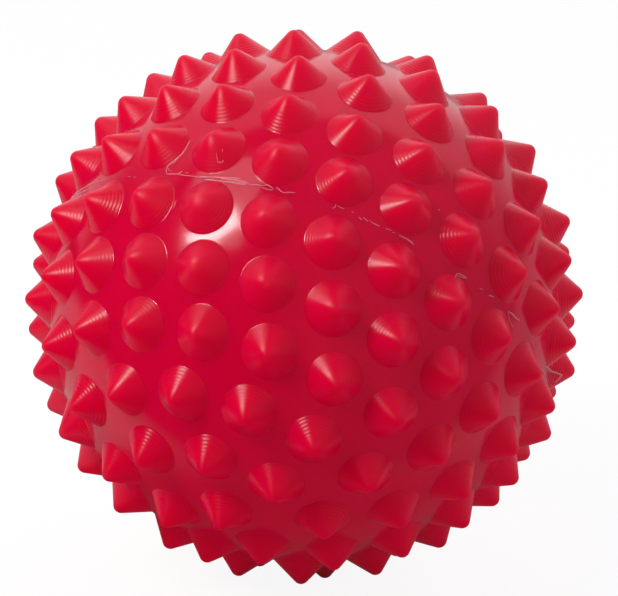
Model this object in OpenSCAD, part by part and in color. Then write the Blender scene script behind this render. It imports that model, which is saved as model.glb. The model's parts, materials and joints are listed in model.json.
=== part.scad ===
// Sensory ball: a hollow ball of soft vinyl, moulded as two half shells with
// rings of blunt cone spikes, welded at the equator, with a pull-out air plug.
// The ball is drawn upright, its weld level, and is then laid on three spikes.

/* [Ball] */
// Diameter of the skin between the spikes
skin_d = 82.5; // [70:0.5:110]
// Thickness of the moulded skin
wall = 2.6; // [1.6:0.1:4]
// Width of the thick rim inside each half, where the two halves are welded
weld_land_w = 2.2; // [1:0.1:4]
// Height of that thick rim
weld_land_h = 2.4; // [1:0.1:5]

/* [Spikes] */
// Height of a spike above the skin
spike_h = 3.75; // [2:0.05:7]
// Diameter of a spike where it meets the skin
spike_base_d = 9; // [6:0.1:9.4]
// Radius of a spike's rounded tip
spike_tip_r = 1.3; // [0.3:0.05:1.8]
// Least gap between neighbours in one ring
spike_gap = 1.7; // [0.5:0.1:6]
// Bare skin between the weld and the first ring
seam_land = 0.68; // [0.3:0.02:3]
// Bare skin between the first two rings
ring_gap = 0.68; // [0.3:0.02:3]
// How much wider the skin gets with each further ring
ring_gap_growth = 0.36; // [0:0.02:1]
// Least bare radius left around each pole
pole_land = 2.8; // [2.8:0.1:8]
// Angle of the lower half's first spikes against the upper half's
lower_half_angle = 76.9; // [0:0.1:360]

/* [Air valve] */
// Diameter of the plug's head
plug_head_d = 5.2; // [3.5:0.1:5.3]
// Thickness of the plug's head
plug_head_h = 1.1; // [0.6:0.1:2]
// How deep the head is let into the skin
plug_inset = 0.7; // [0.3:0.05:1]
// Diameter of the plug's stem
plug_stem_d = 2; // [1.2:0.1:2.6]
// Length of the plug's stem
plug_stem_l = 6; // [3:0.1:7]
// Outside diameter of the valve sleeve
sleeve_d = 4.2; // [3.4:0.1:4.8]
// Diameter of the sleeve's flange inside the ball
flange_d = 7.6; // [6:0.1:12]
// Thickness of the sleeve's flange
flange_h = 1; // [0.6:0.1:2]
// Diameter of the boss inside the skin that holds the sleeve
boss_d = 9.6; // [7:0.1:14]
// Length of the boss below the skin
boss_l = 4; // [2:0.1:8]

/* [How the ball lies] */
// Turn of the lying ball about the upright, in degrees
facing = 62.3; // [0:0.1:360]

/* [Hidden] */

deg = 180 / PI;
skin_r = skin_d / 2;
bore_r = skin_r - wall;
spike_base_r = spike_base_d / 2;
spike_reach = skin_r + spike_h;
ball_facets = 96;
round_facets = 32;
tip_steps = 2;
most_rings = 12;

// Overrun of a cut past the face it opens
overrun = 0.5;
// How far a spike's flank runs on below the skin
spike_root = 0.2;
// Running clearance of the plug's stem, and of the sleeve in its boss
stem_clearance = 0.05;
sleeve_clearance = 0.03;
// Clearance of the plug's head in its seat
head_clearance = 0.2;
// Rounding of the plug's head and of its stem's end
head_round = 0.4;
stem_round = 0.5;

// The mould's rings were bored a little off their half's meridian: the turn
// of each ring in degrees, from the weld to the pole
upper_ring_turns = [0, -0.5, 0.5, -1.5, 0, 0];
lower_ring_turns = [0.5, -2, 0, 1, 1, 0];

// The ball lies on this spike of this ring of the lower half, on the spike
// before it, and on the spike of the same place in the ring nearer the weld
rest_ring_index = 3;
rest_spike_index = 3;

seat_z = skin_r - plug_inset;
seat_r = plug_head_d / 2 + head_clearance;
boss_end_z = bore_r - boss_l;

// Rings of spikes: latitude of ring k, how many rings fit, spikes in ring k
function latitude(k) = deg / skin_r
    * (spike_base_r + seam_land + k * (spike_base_d + ring_gap) + k * (k - 1) / 2 * ring_gap_growth);
pole_limit = 90 - deg * (spike_base_r + pole_land) / skin_r;
rings = [for (k = [0 : most_rings - 1]) if (latitude(k) <= pole_limit) k];
function spikes_in(k) = floor(2 * PI * skin_r * cos(latitude(k)) / (spike_base_d + spike_gap));
function ring_turn(turns, k) = k < len(turns) ? turns[k] : 0;
function longitude(turn, turns, k, i) = turn + ring_turn(turns, k) + i * 360 / spikes_in(k);

// Outline of a spike standing on the ball's centre, as [radius, height]: its
// tip is an arc that ends in a small flat, as the mould's drill leaves it
function flank_angle(base, centre, r) = atan2(base[0], centre[1] - base[1]) - asin(r / norm(centre - base));
function tip_angle(from, s) = from + (90 - from) * s / tip_steps;
function tip_outline(centre, r, from) = concat(
    [for (s = [0 : tip_steps - 1]) centre + r * [cos(tip_angle(from, s)), sin(tip_angle(from, s))]],
    [centre + r * [tan(45 - tip_angle(from, tip_steps - 1) / 2), 1], centre + [0, r]]
);
function spike_outline() =
    let (base = [spike_base_r, sqrt(pow(skin_r, 2) - pow(spike_base_r, 2))])
    let (centre = [0, spike_reach - spike_tip_r])
    let (flank = flank_angle(base, centre, spike_tip_r))
    let (root = base + spike_root * [tan(flank), -1])
    concat([[0, root[1]], root], tip_outline(centre, spike_tip_r, flank));

// Lowest direction of the ball when it lies on its three spikes
function spike_way(k, i) =
    let (lon = longitude(lower_half_angle, lower_ring_turns, k, i))
    [cos(latitude(k)) * cos(lon), cos(latitude(k)) * sin(lon), -sin(latitude(k))];
function unit_towards(v, way) = v * sign(v * way) / norm(v);
rest_ways = [
    spike_way(rest_ring_index, rest_spike_index),
    spike_way(rest_ring_index, rest_spike_index - 1),
    spike_way(rest_ring_index - 1, rest_spike_index)
];
down = unit_towards(cross(rest_ways[1] - rest_ways[0], rest_ways[2] - rest_ways[0]), rest_ways[0]);

module spike() {
    rotate_extrude($fn = round_facets)
        polygon(spike_outline());
}

module spikes(turn, turns) {
    for (k = rings)
        for (i = [0 : spikes_in(k) - 1])
            rotate([0, 90 - latitude(k), longitude(turn, turns, k, i)])
                spike();
}

// Half shell with its thick rim at the weld
module half_skin() {
    rotate_extrude($fn = ball_facets)
        intersection() {
            square(skin_r + overrun);
            difference() {
                circle(skin_r, $fn = ball_facets);
                difference() {
                    circle(bore_r, $fn = ball_facets);
                    translate([bore_r - weld_land_w, -overrun])
                        square([weld_land_w + overrun, weld_land_h + overrun]);
                }
            }
        }
}

module upper_half() {
    color("crimson")
        difference() {
            union() {
                half_skin();
                spikes(0, upper_ring_turns);
                translate([0, 0, boss_end_z])
                    cylinder(d = boss_d, h = boss_l + wall / 2, $fn = round_facets);
            }
            translate([0, 0, boss_end_z - overrun])
                cylinder(r = sleeve_d / 2 + sleeve_clearance, h = skin_r, $fn = round_facets);
            translate([0, 0, seat_z])
                cylinder(r = seat_r, h = skin_r, $fn = round_facets);
        }
}

module lower_half() {
    color("crimson")
        mirror([0, 0, 1])
            union() {
                half_skin();
                spikes(lower_half_angle, lower_ring_turns);
            }
}

module valve_sleeve() {
    color("dimgray")
        difference() {
            union() {
                translate([0, 0, boss_end_z])
                    cylinder(d = sleeve_d, h = seat_z - boss_end_z, $fn = round_facets);
                translate([0, 0, boss_end_z - flange_h])
                    cylinder(d = flange_d, h = flange_h, $fn = round_facets);
            }
            translate([0, 0, boss_end_z - flange_h - overrun])
                cylinder(r = plug_stem_d / 2 + stem_clearance, h = skin_r, $fn = round_facets);
        }
}

// Half outline of the plug, from the end of its stem to the top of its head
function plug_outline() =
    let (stem = plug_stem_d / 2, head = plug_head_d / 2, end = seat_z - plug_stem_l)
    let (top = seat_z + plug_head_h)
    [
        [0, end], [stem - stem_round, end], [stem, end + stem_round], [stem, seat_z],
        [head, seat_z], [head, top - head_round], [head - head_round, top], [0, top]
    ];

module valve_plug() {
    color("firebrick")
        rotate_extrude($fn = round_facets)
            polygon(plug_outline());
}

// Turns the upright ball so that it lies on its three spikes
module as_it_lies() {
    rotate([0, 0, facing])
        rotate([0, 180 - acos(down[2]), 0])
            rotate([0, 0, -atan2(down[1], down[0])])
                children();
}

as_it_lies() upper_half();
as_it_lies() lower_half();
as_it_lies() valve_sleeve();
as_it_lies() valve_plug();
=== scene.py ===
"""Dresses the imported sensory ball: its two shells of soft red vinyl, their weld and the air valve.

Sizes are in millimetres, in the mould's own frame: the ball's centre at the origin and +Z along the weld's
axis, through the air valve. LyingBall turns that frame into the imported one, in which the ball lies on three
spikes.
"""

import json
import logging
import math
from dataclasses import dataclass
from enum import Enum

import bpy
import numpy as np
from mathutils import Matrix, Vector, noise
from mathutils.geometry import delaunay_2d_cdt


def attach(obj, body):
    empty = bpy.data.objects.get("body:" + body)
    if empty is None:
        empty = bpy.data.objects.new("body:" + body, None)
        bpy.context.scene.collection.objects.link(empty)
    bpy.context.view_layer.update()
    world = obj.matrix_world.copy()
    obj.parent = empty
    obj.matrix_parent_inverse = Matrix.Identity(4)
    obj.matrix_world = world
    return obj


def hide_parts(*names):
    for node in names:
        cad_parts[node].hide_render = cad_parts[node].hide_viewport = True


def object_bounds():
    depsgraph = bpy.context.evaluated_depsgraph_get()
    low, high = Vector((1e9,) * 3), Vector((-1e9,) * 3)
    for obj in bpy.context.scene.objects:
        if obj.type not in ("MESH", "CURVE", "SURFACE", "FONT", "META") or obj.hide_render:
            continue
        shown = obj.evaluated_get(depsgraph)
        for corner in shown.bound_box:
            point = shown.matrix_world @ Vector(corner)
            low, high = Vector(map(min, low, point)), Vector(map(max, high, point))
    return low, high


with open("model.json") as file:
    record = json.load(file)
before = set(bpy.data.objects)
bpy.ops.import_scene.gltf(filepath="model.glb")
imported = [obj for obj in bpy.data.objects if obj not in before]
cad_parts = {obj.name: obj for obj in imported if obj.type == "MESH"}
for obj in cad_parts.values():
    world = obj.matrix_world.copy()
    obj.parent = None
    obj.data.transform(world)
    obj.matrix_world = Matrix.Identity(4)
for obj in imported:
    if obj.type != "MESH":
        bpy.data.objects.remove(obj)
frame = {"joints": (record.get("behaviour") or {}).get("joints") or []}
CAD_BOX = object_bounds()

MM = 0.001
BEAD_SEED = 3.0
FINS_SEED = 11.0
SWELL_SEED = 9.0
SEED_STEP = 1.7
PHOTO_WIDTH = 618
PHOTO_HEIGHT = 596

log = logging.getLogger("sensory_ball")


class Half(Enum):
    """The two moulded halves, valued by the side of the weld that they lie on."""

    UPPER = 1
    LOWER = -1


class Slot(Enum):
    """The record's material slots."""

    SKIN = "red_vinyl"
    SLEEVE = "valve_rubber"
    PLUG = "plug_vinyl"


def linear(hex_colour: str) -> tuple[float, float, float, float]:
    """Turns an sRGB hex colour into Blender's linear colour.

    Args:
        hex_colour: Six hex digits with a leading hash.

    Returns:
        Red, green, blue and an alpha of 1, linear.
    """
    levels = [int(hex_colour[i : i + 2], 16) / 255 for i in (1, 3, 5)]
    red, green, blue = [v / 12.92 if v <= 0.04045 else ((v + 0.055) / 1.055) ** 2.4 for v in levels]
    return red, green, blue, 1.0


def add_node(
    tree: bpy.types.NodeTree, kind: str, values: dict[str | int, object] | None = None, output: str | int = 0
) -> bpy.types.NodeSocket | None:
    """Adds a node with its settings and the links into it.

    Args:
        tree: The node tree that gets the node.
        kind: The node's type name.
        values: Settings, and sockets to link, by input name, input number or property name.
        output: The name or number of the output that is wanted.

    Returns:
        The output, if the node has any.
    """
    node = tree.nodes.new(kind)
    for key, value in (values or {}).items():
        if isinstance(value, bpy.types.NodeSocket):
            tree.links.new(value, node.inputs[key])
        elif isinstance(key, int) or key in node.inputs:
            node.inputs[key].default_value = value
        else:
            setattr(node, key, value)
    return node.outputs[output] if node.outputs else None


def new_material(name: str) -> tuple[bpy.types.Material, bpy.types.NodeTree]:
    """Makes a material without nodes, and gives its node tree too."""
    material = bpy.data.materials.new(name)
    material.use_nodes = True
    material.node_tree.nodes.clear()
    return material, material.node_tree


@dataclass(frozen=True)
class Ramp:
    """A step from one value to another between two readings, smooth or straight."""

    low: float
    high: float
    start: float
    end: float | bpy.types.NodeSocket
    smooth: bool = True

    def settings(self, reading: bpy.types.NodeSocket) -> dict[str, object]:
        """Gives the values of the node that turns a reading into the ramp's value."""
        return {
            "interpolation_type": "SMOOTHSTEP" if self.smooth else "LINEAR",
            "Value": reading,
            "From Min": self.low,
            "From Max": self.high,
            "To Min": self.start,
            "To Max": self.end,
        }


def add_product(tree: bpy.types.NodeTree, *steps: tuple[Ramp, bpy.types.NodeSocket]) -> bpy.types.NodeSocket:
    """Adds some ramps and their product.

    Args:
        tree: The node tree that gets the nodes.
        steps: Each ramp with its reading.

    Returns:
        The product.
    """
    product = None
    for ramp, reading in steps:
        value = add_node(tree, "ShaderNodeMapRange", ramp.settings(reading), "Result")
        if product:
            value = add_node(tree, "ShaderNodeMath", {"operation": "MULTIPLY", 0: product, 1: value})
        product = value
    return product


@dataclass(frozen=True)
class BallSizes:
    """The ball's driving sizes in millimetres, the same as the part's source has."""

    skin_d: float = 82.5
    wall: float = 2.6
    weld_land_w: float = 2.2
    weld_land_h: float = 2.4
    spike_h: float = 3.75
    spike_base_d: float = 9.0
    spike_tip_r: float = 1.3
    spike_gap: float = 1.7
    seam_land: float = 0.68
    ring_gap: float = 0.68
    ring_gap_growth: float = 0.36
    pole_land: float = 2.8
    lower_half_angle: float = 76.9
    upper_ring_turns: tuple[float, ...] = (0, -0.5, 0.5, -1.5, 0, 0)
    lower_ring_turns: tuple[float, ...] = (0.5, -2, 0, 1, 1, 0)
    rest_ring_index: int = 3
    rest_spike_index: int = 3

    @property
    def skin_r(self) -> float:
        """Radius of the skin between the spikes."""
        return self.skin_d / 2

    @property
    def bore_r(self) -> float:
        """Radius of the hollow inside."""
        return self.skin_r - self.wall

    @property
    def reach(self) -> float:
        """Distance of a spike's tip from the ball's centre."""
        return self.skin_r + self.spike_h


@dataclass(frozen=True)
class ValveSizes:
    """The air valve's sizes in millimetres, the same as the part's source has."""

    plug_head_d: float = 5.2
    plug_head_h: float = 1.1
    plug_inset: float = 0.7
    plug_stem_d: float = 2.0
    plug_stem_l: float = 6.0
    sleeve_d: float = 4.2
    sleeve_clearance: float = 0.03
    head_clearance: float = 0.2
    flange_d: float = 7.6
    flange_h: float = 1.0
    boss_d: float = 9.6
    boss_l: float = 4.0


@dataclass(frozen=True)
class SpikeRings:
    """The rule that places the spikes: rings round the weld's axis, as many spikes in each as fit."""

    sizes: BallSizes

    def latitude(self, ring: int) -> float:
        """Gives the angle of a ring from the weld, in radians."""
        s = self.sizes
        growth = ring * (ring - 1) / 2 * s.ring_gap_growth
        return (s.spike_base_d / 2 + s.seam_land + ring * (s.spike_base_d + s.ring_gap) + growth) / s.skin_r

    def count(self, ring: int) -> int:
        """Gives how many spikes a ring holds."""
        s = self.sizes
        way_round = 2 * math.pi * s.skin_r * math.cos(self.latitude(ring))
        return math.floor(way_round / (s.spike_base_d + s.spike_gap))

    def ring_numbers(self) -> list[int]:
        """Lists the rings that fit between the weld and the bare pole."""
        s = self.sizes
        limit = math.pi / 2 - (s.spike_base_d / 2 + s.pole_land) / s.skin_r
        rings = []
        while self.latitude(len(rings)) <= limit:
            rings.append(len(rings))
        return rings

    def way(self, half: Half, ring: int, place: int) -> np.ndarray:
        """Gives the direction of one spike.

        Args:
            half: The half that the spike stands on.
            ring: The ring's number, from the weld.
            place: The spike's number in its ring.

        Returns:
            A unit vector in the mould's frame.
        """
        s = self.sizes
        turns = s.upper_ring_turns if half is Half.UPPER else s.lower_ring_turns
        start = 0.0 if half is Half.UPPER else s.lower_half_angle
        turn = turns[ring] if ring < len(turns) else 0.0
        lon = math.radians(start + turn) + place * 2 * math.pi / self.count(ring)
        lat = self.latitude(ring)
        out = math.cos(lat)
        return np.array([out * math.cos(lon), out * math.sin(lon), half.value * math.sin(lat)])

    def ways(self, half: Half) -> np.ndarray:
        """Gives the directions of all the spikes of one half, ring by ring."""
        return np.array([self.way(half, k, i) for k in self.ring_numbers() for i in range(self.count(k))])


def turned_z(angle: float) -> np.ndarray:
    """Gives the matrix that turns by an angle about Z."""
    c, s = math.cos(angle), math.sin(angle)
    return np.array([[c, -s, 0.0], [s, c, 0.0], [0.0, 0.0, 1.0]])


def turned_y(angle: float) -> np.ndarray:
    """Gives the matrix that turns by an angle about Y."""
    c, s = math.cos(angle), math.sin(angle)
    return np.array([[c, 0.0, s], [0.0, 1.0, 0.0], [-s, 0.0, c]])


@dataclass(frozen=True)
class LyingBall:
    """Turns the mould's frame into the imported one, in which the ball lies on three spikes.

    The upright comes from the three spikes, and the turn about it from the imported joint, whose axis is the
    mould's.
    """

    rings: SpikeRings
    mould_axis: tuple[float, float, float]

    def matrix(self) -> np.ndarray:
        """Gives the 3 by 3 matrix from the mould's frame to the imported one."""
        s = self.rings.sizes
        a = self.rings.way(Half.LOWER, s.rest_ring_index, s.rest_spike_index)
        b = self.rings.way(Half.LOWER, s.rest_ring_index, s.rest_spike_index - 1)
        c = self.rings.way(Half.LOWER, s.rest_ring_index - 1, s.rest_spike_index)
        down = np.cross(b - a, c - a)
        down *= math.copysign(1.0, down @ a) / np.linalg.norm(down)
        facing = math.atan2(self.mould_axis[1], self.mould_axis[0])
        lean = math.pi - math.acos(down[2])
        return turned_z(facing) @ turned_y(lean) @ turned_z(-math.atan2(down[1], down[0]))


class ShapeMesh:
    """Collects the points and faces of one piece in the mould's frame and makes its Blender object.

    Each point has a normal, its distance from its spike's axis, a number that differs from spike to spike and the
    direction of that axis. The vinyl's turned rings and its stretched highlights follow them.
    """

    FAR_FROM_SPIKES = 6.0

    def __init__(self, name: str) -> None:
        """Starts an empty mesh of that name."""
        self.name = name
        self.points: list[np.ndarray] = []
        self.normals: list[np.ndarray] = []
        self.axis_r: list[np.ndarray] = []
        self.seed: list[np.ndarray] = []
        self.spike_way: list[np.ndarray] = []
        self.faces: list[tuple[int, ...]] = []
        self.face_finish: list[int] = []
        self.finish = 0
        self.total = 0

    def add(
        self,
        points: np.ndarray,
        normals: np.ndarray,
        axis_r: float = FAR_FROM_SPIKES,
        seed: float = 0.0,
        spike_way: tuple[float, float, float] | np.ndarray = (0.0, 0.0, 1.0),
    ) -> list[int]:
        """Adds points.

        Args:
            points: One row for each point, in millimetres.
            normals: One row for each point.
            axis_r: Distance of these points from their spike's axis, in millimetres.
            seed: The number of their spike.
            spike_way: The direction of their spike's axis.

        Returns:
            The points' indices.
        """
        first, n = self.total, len(points)
        self.points.append(np.asarray(points, float).reshape(n, 3))
        self.normals.append(np.asarray(normals, float).reshape(n, 3))
        self.axis_r.append(np.full(n, axis_r))
        self.seed.append(np.full(n, seed))
        self.spike_way.append(np.tile(spike_way, (n, 1)))
        self.total += n
        return list(range(first, first + n))

    def face(self, corners: tuple[int, ...]) -> None:
        """Adds one face, in the finish that is chosen at the time."""
        self.faces.append(corners)
        self.face_finish.append(self.finish)

    def bridge(self, outer: list[int], inner: list[int]) -> None:
        """Joins two closed rings of as many points with quads that face to the left of outer."""
        n = len(outer)
        for i in range(n):
            j = (i + 1) % n
            self.face((outer[i], outer[j], inner[j], inner[i]))

    def fan(self, ring: list[int], middle: int) -> None:
        """Joins a closed ring to one point with triangles."""
        n = len(ring)
        for i in range(n):
            self.face((ring[i], ring[(i + 1) % n], middle))

    def bridge_finer(self, fine: list[int], coarse: list[int]) -> None:
        """Joins a closed ring to one with fewer points, whose number divides the first's."""
        n = len(coarse)
        step = len(fine) // n
        for i in range(n):
            for k in range(step):
                j = (i * step + k + 1) % len(fine)
                self.face((fine[i * step + k], fine[j], coarse[i]))
            self.face((fine[(i + 1) * step % len(fine)], coarse[(i + 1) % n], coarse[i]))

    def make(self, lie: np.ndarray, mirrored: bool = False) -> bpy.types.Object:
        """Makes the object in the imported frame, smooth, with the collected normals.

        Args:
            lie: The matrix from the mould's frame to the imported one.
            mirrored: Whether the points are mirrored in the plane of the weld first.

        Returns:
            The new object, linked to the scene.
        """
        flip = np.array([1.0, 1.0, -1.0 if mirrored else 1.0])
        points = (np.concatenate(self.points) * flip) @ lie.T * MM
        normals = (np.concatenate(self.normals) * flip) @ lie.T
        faces = [f[::-1] for f in self.faces] if mirrored else self.faces
        mesh = bpy.data.meshes.new(self.name)
        mesh.from_pydata(points.tolist(), [], faces)
        for label, values in (("axis_r", self.axis_r), ("spike_seed", self.seed)):
            layer = mesh.attributes.new(label, "FLOAT", "POINT")
            layer.data.foreach_set("value", np.concatenate(values).astype(np.float32))
        spike_ways = (np.concatenate(self.spike_way) * flip) @ lie.T
        layer = mesh.attributes.new("spike_way", "FLOAT_VECTOR", "POINT")
        layer.data.foreach_set("vector", spike_ways.ravel())
        mesh.polygons.foreach_set("material_index", self.face_finish)
        mesh.shade_smooth()
        mesh.normals_split_custom_set_from_vertices(normals.tolist())
        mesh.update()
        piece = bpy.data.objects.new(self.name, mesh)
        bpy.context.scene.collection.objects.link(piece)
        return piece


def ring_points(radius: float, height: float, steps: int) -> np.ndarray:
    """Gives the points of a level circle about Z."""
    t = np.arange(steps) * 2 * math.pi / steps
    return np.column_stack([radius * np.cos(t), radius * np.sin(t), np.full(steps, height)])


def ring_normals(outward: float, upward: float, steps: int) -> np.ndarray:
    """Gives one normal for each point of a level circle, from its outward and upward parts."""
    return ring_points(outward, upward, steps)


def frame_about(way: np.ndarray) -> np.ndarray:
    """Gives a right-handed matrix whose third column is the given direction."""
    side = np.cross([0.0, 0.0, 1.0], way)
    side = side / np.linalg.norm(side) if np.linalg.norm(side) > 1e-9 else np.array([1.0, 0.0, 0.0])
    return np.column_stack([side, np.cross(way, side), way])


@dataclass(frozen=True)
class ProfilePoint:
    """One point of an outline turned about an axis: its radius, its height and its normal's two parts."""

    r: float
    h: float
    out: float
    up: float


@dataclass(frozen=True)
class SpikeProfile:
    """The outline of a spike from its tip to the skin: a rounded tip, a straight flank and a tight fillet."""

    sizes: BallSizes
    fillet_r: float = 0.34
    skirt: float = 0.06
    tip_ease: float = 2.5
    tip_steps: int = 6
    flank_steps: int = 8
    fillet_steps: int = 3

    def half_angle(self) -> float:
        """Gives the angle between the spike's axis and its flank, in radians."""
        s = self.sizes
        base_r = s.spike_base_d / 2
        rise = s.reach - s.spike_tip_r - math.sqrt(s.skin_r**2 - base_r**2)
        return math.atan2(base_r, rise) - math.asin(s.spike_tip_r / math.hypot(base_r, rise))

    def _eased(self, run: float, arc: float, flank: float) -> np.ndarray:
        """Gives the normal part of the way down the outline, eased from the tip's round into the flank.

        Args:
            run: The way from the tip, along the outline.
            arc: The length of the tip's arc.
            flank: The angle of the flank's normal.

        Returns:
            The normal's outward and upward parts.
        """
        share = min(1.0, run / (arc * self.tip_ease))
        t = math.pi / 2 - (math.pi / 2 - flank) * math.sin(share * math.pi / 2)
        return np.array([math.cos(t), math.sin(t)])

    def points(self) -> list[ProfilePoint]:
        """Lists the outline's points from the tip outwards, without the tip itself."""
        s = self.sizes
        a = self.half_angle()
        base = np.array([s.spike_base_d / 2, math.sqrt(s.skin_r**2 - (s.spike_base_d / 2) ** 2)])
        along = np.array([-math.sin(a), math.cos(a)])
        out = np.array([math.cos(a), math.sin(a)])
        tip = np.array([0.0, s.reach - s.spike_tip_r])
        start = base + self.fillet_r * out
        half_b = start @ along
        run = -half_b + math.sqrt(half_b**2 - start @ start + (s.skin_r + self.fillet_r) ** 2)
        centre = start + run * along
        rows = []
        arc = s.spike_tip_r * (math.pi / 2 - a)
        for i in range(1, self.tip_steps + 1):
            t = math.pi / 2 - (math.pi / 2 - a) * i / self.tip_steps
            n = np.array([math.cos(t), math.sin(t)])
            rows.append((tip + s.spike_tip_r * n, self._eased(arc * i / self.tip_steps, arc, a)))
        flank_top, flank_foot = rows[-1][0], centre - self.fillet_r * out
        for i in range(1, self.flank_steps + 1):
            share = 0.5 - 0.5 * math.cos(math.pi * i / self.flank_steps)
            run = arc + share * np.linalg.norm(flank_foot - flank_top)
            rows.append((flank_top + (flank_foot - flank_top) * share, self._eased(run, arc, a)))
        skin_out = centre / np.linalg.norm(centre)
        turn_from, turn_to = math.atan2(out[1], out[0]), math.atan2(skin_out[1], skin_out[0])
        for i in range(1, self.fillet_steps + 1):
            t = turn_from + (turn_to - turn_from) * i / self.fillet_steps
            n = np.array([math.cos(t), math.sin(t)])
            rows.append((centre - self.fillet_r * n, n))
        t = turn_to - self.skirt / s.skin_r
        n = np.array([math.cos(t), math.sin(t)])
        rows.append((s.skin_r * n, n))
        return [ProfilePoint(p[0], p[1], n[0], n[1]) for p, n in rows]


@dataclass(frozen=True)
class SpikySurface:
    """The ball's outer surface as a distance from its centre in every direction."""

    rings: SpikeRings
    profile: SpikeProfile

    def reach(self, ways: np.ndarray) -> np.ndarray:
        """Gives the surface's distance from the centre.

        Args:
            ways: Unit vectors, one in each row.

        Returns:
            The distances in millimetres.
        """
        outline = self.profile.points()
        angles = [0.0] + [math.atan2(p.r, p.h) for p in outline]
        reaches = [self.rings.sizes.reach] + [math.hypot(p.r, p.h) for p in outline]
        axes = np.concatenate([self.rings.ways(half) for half in Half])
        nearest = np.arccos(np.clip((ways @ axes.T).max(axis=1), -1.0, 1.0))
        return np.interp(nearest, angles, reaches)


@dataclass(frozen=True)
class Flash:
    """One thin fin or thread of vinyl that the welding squeezed out and that lies on the skin.

    Its path goes through points, each a longitude in degrees and a height above the weld in millimetres.
    """

    path: tuple[tuple[float, float], ...]
    wide: float = 0.22
    high: float = 0.16
    wobble: float = 0.08
    closed: bool = False


@dataclass
class WeldFlash:
    """The weld's raised bead and its flash, each fin draped over the skin and the spikes that it crosses."""

    surface: SpikySurface
    step: float = 0.16
    fewest_steps: int = 6
    sunk: float = 0.08
    ease_l: float = 0.6
    waves: float = 22.0
    fine_waves: float = 3.1
    fine_share: float = 0.6
    least_swell: float = 0.8
    swell: float = 0.5
    blunt_steps: float = 4.0
    normal_lean: float = 0.8
    normal_up: float = 0.5
    steep_drop: float = 0.45
    section: tuple[tuple[float, float], ...] = (
        (-1.0, -0.6), (-0.9, 0.1), (-0.55, 0.75), (0.0, 1.0), (0.55, 0.75), (0.9, 0.1), (1.0, -0.6)
    )

    def _path(self, flash: Flash, seed: float) -> np.ndarray:
        """Gives the fin's path as unit vectors, evenly spaced and a little unsteady."""
        r = self.surface.rings.sizes.skin_r
        corners = np.array([(math.radians(lon) * r, high) for lon, high in flash.path])
        runs = np.concatenate([[0.0], np.cumsum(np.hypot(*np.diff(corners, axis=0).T))])
        steps = max(self.fewest_steps, round(runs[-1] / self.step))
        at = np.linspace(0.0, runs[-1], steps, endpoint=not flash.closed)
        across = np.interp(at, runs, corners[:, 0])
        up = np.interp(at, runs, corners[:, 1])
        ease = 1.0 if flash.closed else np.minimum(1.0, np.minimum(at, runs[-1] - at) / self.ease_l)
        up = up + ease * flash.wobble * np.array([self._unsteady(x, seed) for x in across / r])
        lon, lat = across / r, up / r
        return np.column_stack([np.cos(lat) * np.cos(lon), np.cos(lat) * np.sin(lon), np.sin(lat)])

    def _unsteady(self, lon: float, seed: float) -> float:
        """Gives a smooth random number that is the same after a full turn."""
        spot = Vector((math.cos(lon) * self.waves, math.sin(lon) * self.waves, seed))
        return noise.noise(spot) + self.fine_share * noise.noise(spot * self.fine_waves)

    def add(self, mesh: ShapeMesh, flash: Flash, seed: float) -> None:
        """Adds one fin to the mesh as a closed solid.

        Args:
            mesh: The mesh that gets the fin.
            flash: The fin.
            seed: A number that makes its unsteadiness its own.
        """
        ways = self._path(flash, seed)
        count = len(ways)
        foot = ways * self.surface.reach(ways)[:, None]
        if flash.closed:
            along = np.roll(foot, -1, axis=0) - np.roll(foot, 1, axis=0)
        else:
            along = np.gradient(foot, axis=0)
        along /= np.linalg.norm(along, axis=1)[:, None]
        side = np.cross(along, ways)
        side /= np.linalg.norm(side, axis=1)[:, None]
        up = np.cross(side, along)
        swell_seed = seed + SWELL_SEED
        unsteady = np.array([self._unsteady(math.atan2(w[1], w[0]), swell_seed) for w in ways])
        swell = self.least_swell + self.swell * unsteady
        if not flash.closed:
            from_end = np.minimum(np.arange(count), np.arange(count)[::-1])
            swell *= np.sqrt(np.minimum(1.0, (0.5 + from_end) / self.blunt_steps))
        rows = []
        for i in range(count):
            half_w, h = flash.wide / 2 * swell[i], flash.high * swell[i]
            steep = min(1.0, h / half_w)
            points, normals = [], []
            for x, y in self.section:
                lift = h * y if y > 0 else self.sunk * y
                points.append(foot[i] + side[i] * x * half_w + up[i] * lift)
                rise = max(y, self.normal_up - self.steep_drop * steep)
                normal = side[i] * x * self.normal_lean * steep + up[i] * rise
                normals.append(normal / np.linalg.norm(normal))
            rows.append(mesh.add(points, normals))
        sides = len(self.section)
        for i in range(count if flash.closed else count - 1):
            j = (i + 1) % count
            for k in range(sides):
                m = (k + 1) % sides
                mesh.face((rows[i][k], rows[i][m], rows[j][m], rows[j][k]))
        if not flash.closed:
            mesh.face(tuple(rows[0][::-1]))
            mesh.face(tuple(rows[-1]))

    def build(self, name: str, fins: tuple[Flash, ...], lie: np.ndarray, seed: float) -> bpy.types.Object:
        """Builds one object from some fins.

        Args:
            name: The object's name.
            fins: The fins.
            lie: The matrix from the mould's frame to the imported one.
            seed: The first fin's number.

        Returns:
            The new object.
        """
        mesh = ShapeMesh(name)
        for number, flash in enumerate(fins):
            self.add(mesh, flash, seed + SEED_STEP * number)
        return mesh.make(lie)


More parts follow.
